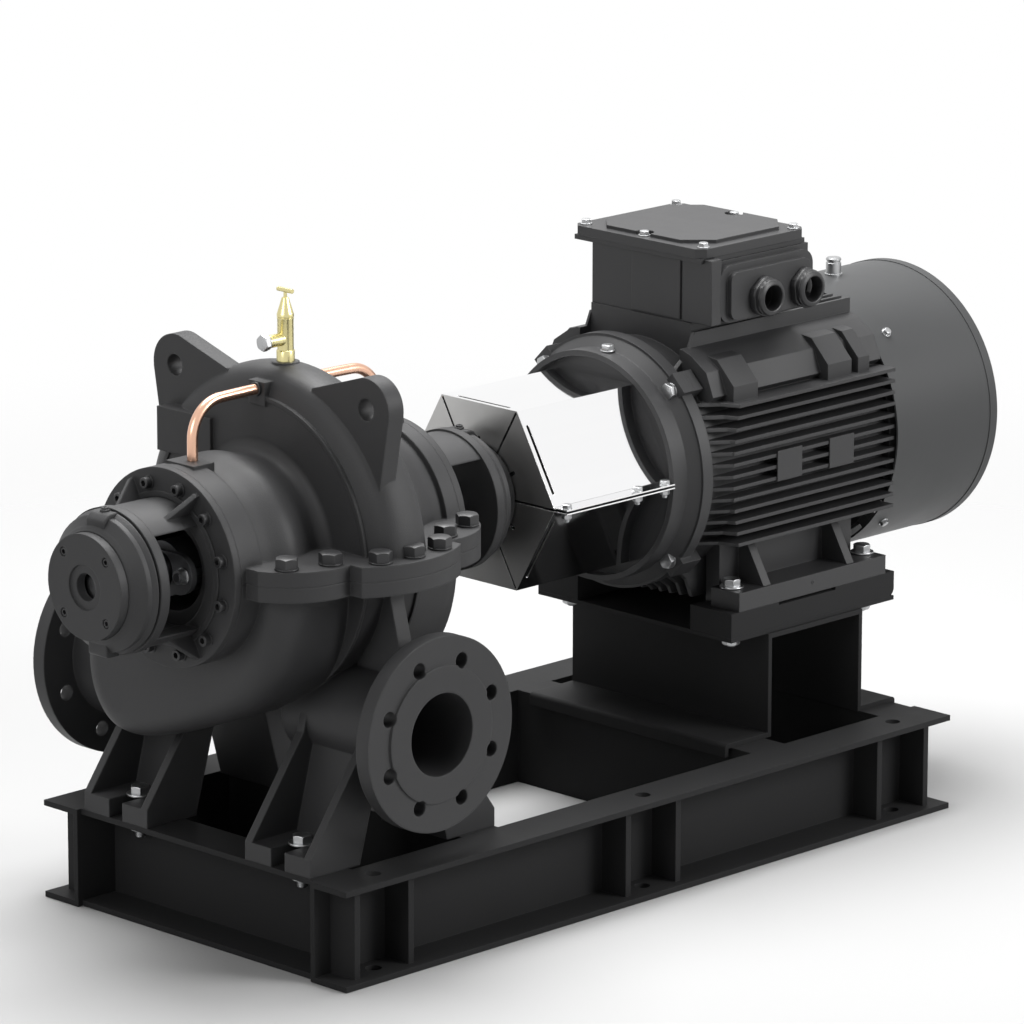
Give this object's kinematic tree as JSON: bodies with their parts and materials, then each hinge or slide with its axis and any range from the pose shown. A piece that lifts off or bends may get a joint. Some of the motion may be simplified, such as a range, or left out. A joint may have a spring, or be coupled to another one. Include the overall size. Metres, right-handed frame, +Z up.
{
  "type": "split case pump set",
  "caption": "Horizontal split case pump coupled to a finned electric motor under a hexagonal guard, both on one welded channel base.",
  "frame": {"origin": "centre of the anchor hole pattern, on the ground face of the base", "axes": "+X along the shaft from the pump to the motor, +Y to the suction side, +Z up"},
  "size_m": [1.606, 0.658, 0.8842],
  "materials": {
    "casting_paint": "matt charcoal paint on castings",
    "base_paint": "satin black paint on rolled steel",
    "cowl_paint": "satin charcoal paint on pressed sheet",
    "dark_steel": "dull dark steel",
    "shaft_steel": "ground steel",
    "zinc_steel": "zinc plated",
    "polished_sheet": "mirror polished stainless sheet",
    "copper_pipe": "bright copper tube",
    "valve_brass": "bright brass",
    "coupling_rubber": "moulded rubber",
    "black_plastic": "moulded black plastic"
  },
  "bodies": {
    "pump_set": {"base_channel_near": "base_paint", "base_channel_far": "base_paint", "end_channel_pump": "base_paint", "end_channel_motor": "base_paint", "cross_channels": "base_paint", "motor_pedestal": "base_paint", "pedestal_top_plate": "base_paint", "motor_rails": "base_paint", "casing_upper": "casting_paint", "casing_lower": "casting_paint", "bearing_bracket_nde": "casting_paint", "bearing_bracket_de": "casting_paint", "bearing_cap_nde": "casting_paint", "bearing_cap_de": "casting_paint", "gland_nde": "dark_steel", "gland_de": "dark_steel", "guard_upper": "polished_sheet", "guard_lower": "polished_sheet", "flush_pipes": "copper_pipe", "vent_valve": "valve_brass", "vent_plug": "zinc_steel", "motor_frame": "casting_paint", "motor_end_shield_de": "casting_paint", "motor_end_shield_nde": "casting_paint", "fan_cowl": "cowl_paint", "cowl_grille": "cowl_paint", "terminal_box_body": "casting_paint", "terminal_box_lid": "casting_paint", "gland_plate": "casting_paint", "cable_glands": "black_plastic", "blank_plates": "dark_steel"},
    "rotor": {"pump_shaft": "shaft_steel", "coupling_hub_pump": "dark_steel", "coupling_element": "coupling_rubber", "coupling_hub_motor": "dark_steel", "motor_shaft": "shaft_steel", "cooling_fan": "black_plastic"},
    "vent_handle": {"vent_handle": "valve_brass"}
  },
  "joints": [
    {"name": "rotor_spin", "type": "hinge", "parent": "pump_set", "child": "rotor", "pos_m": [-0.424, 0, 0.5355], "axis": [1, 0, 0], "continuous": true},
    {"name": "vent_handle_turn", "type": "hinge", "parent": "pump_set", "child": "vent_handle", "pos_m": [-0.424, 0, 0.86], "axis": [0, 0, 1], "range_deg": [0, 90]}
  ]
}
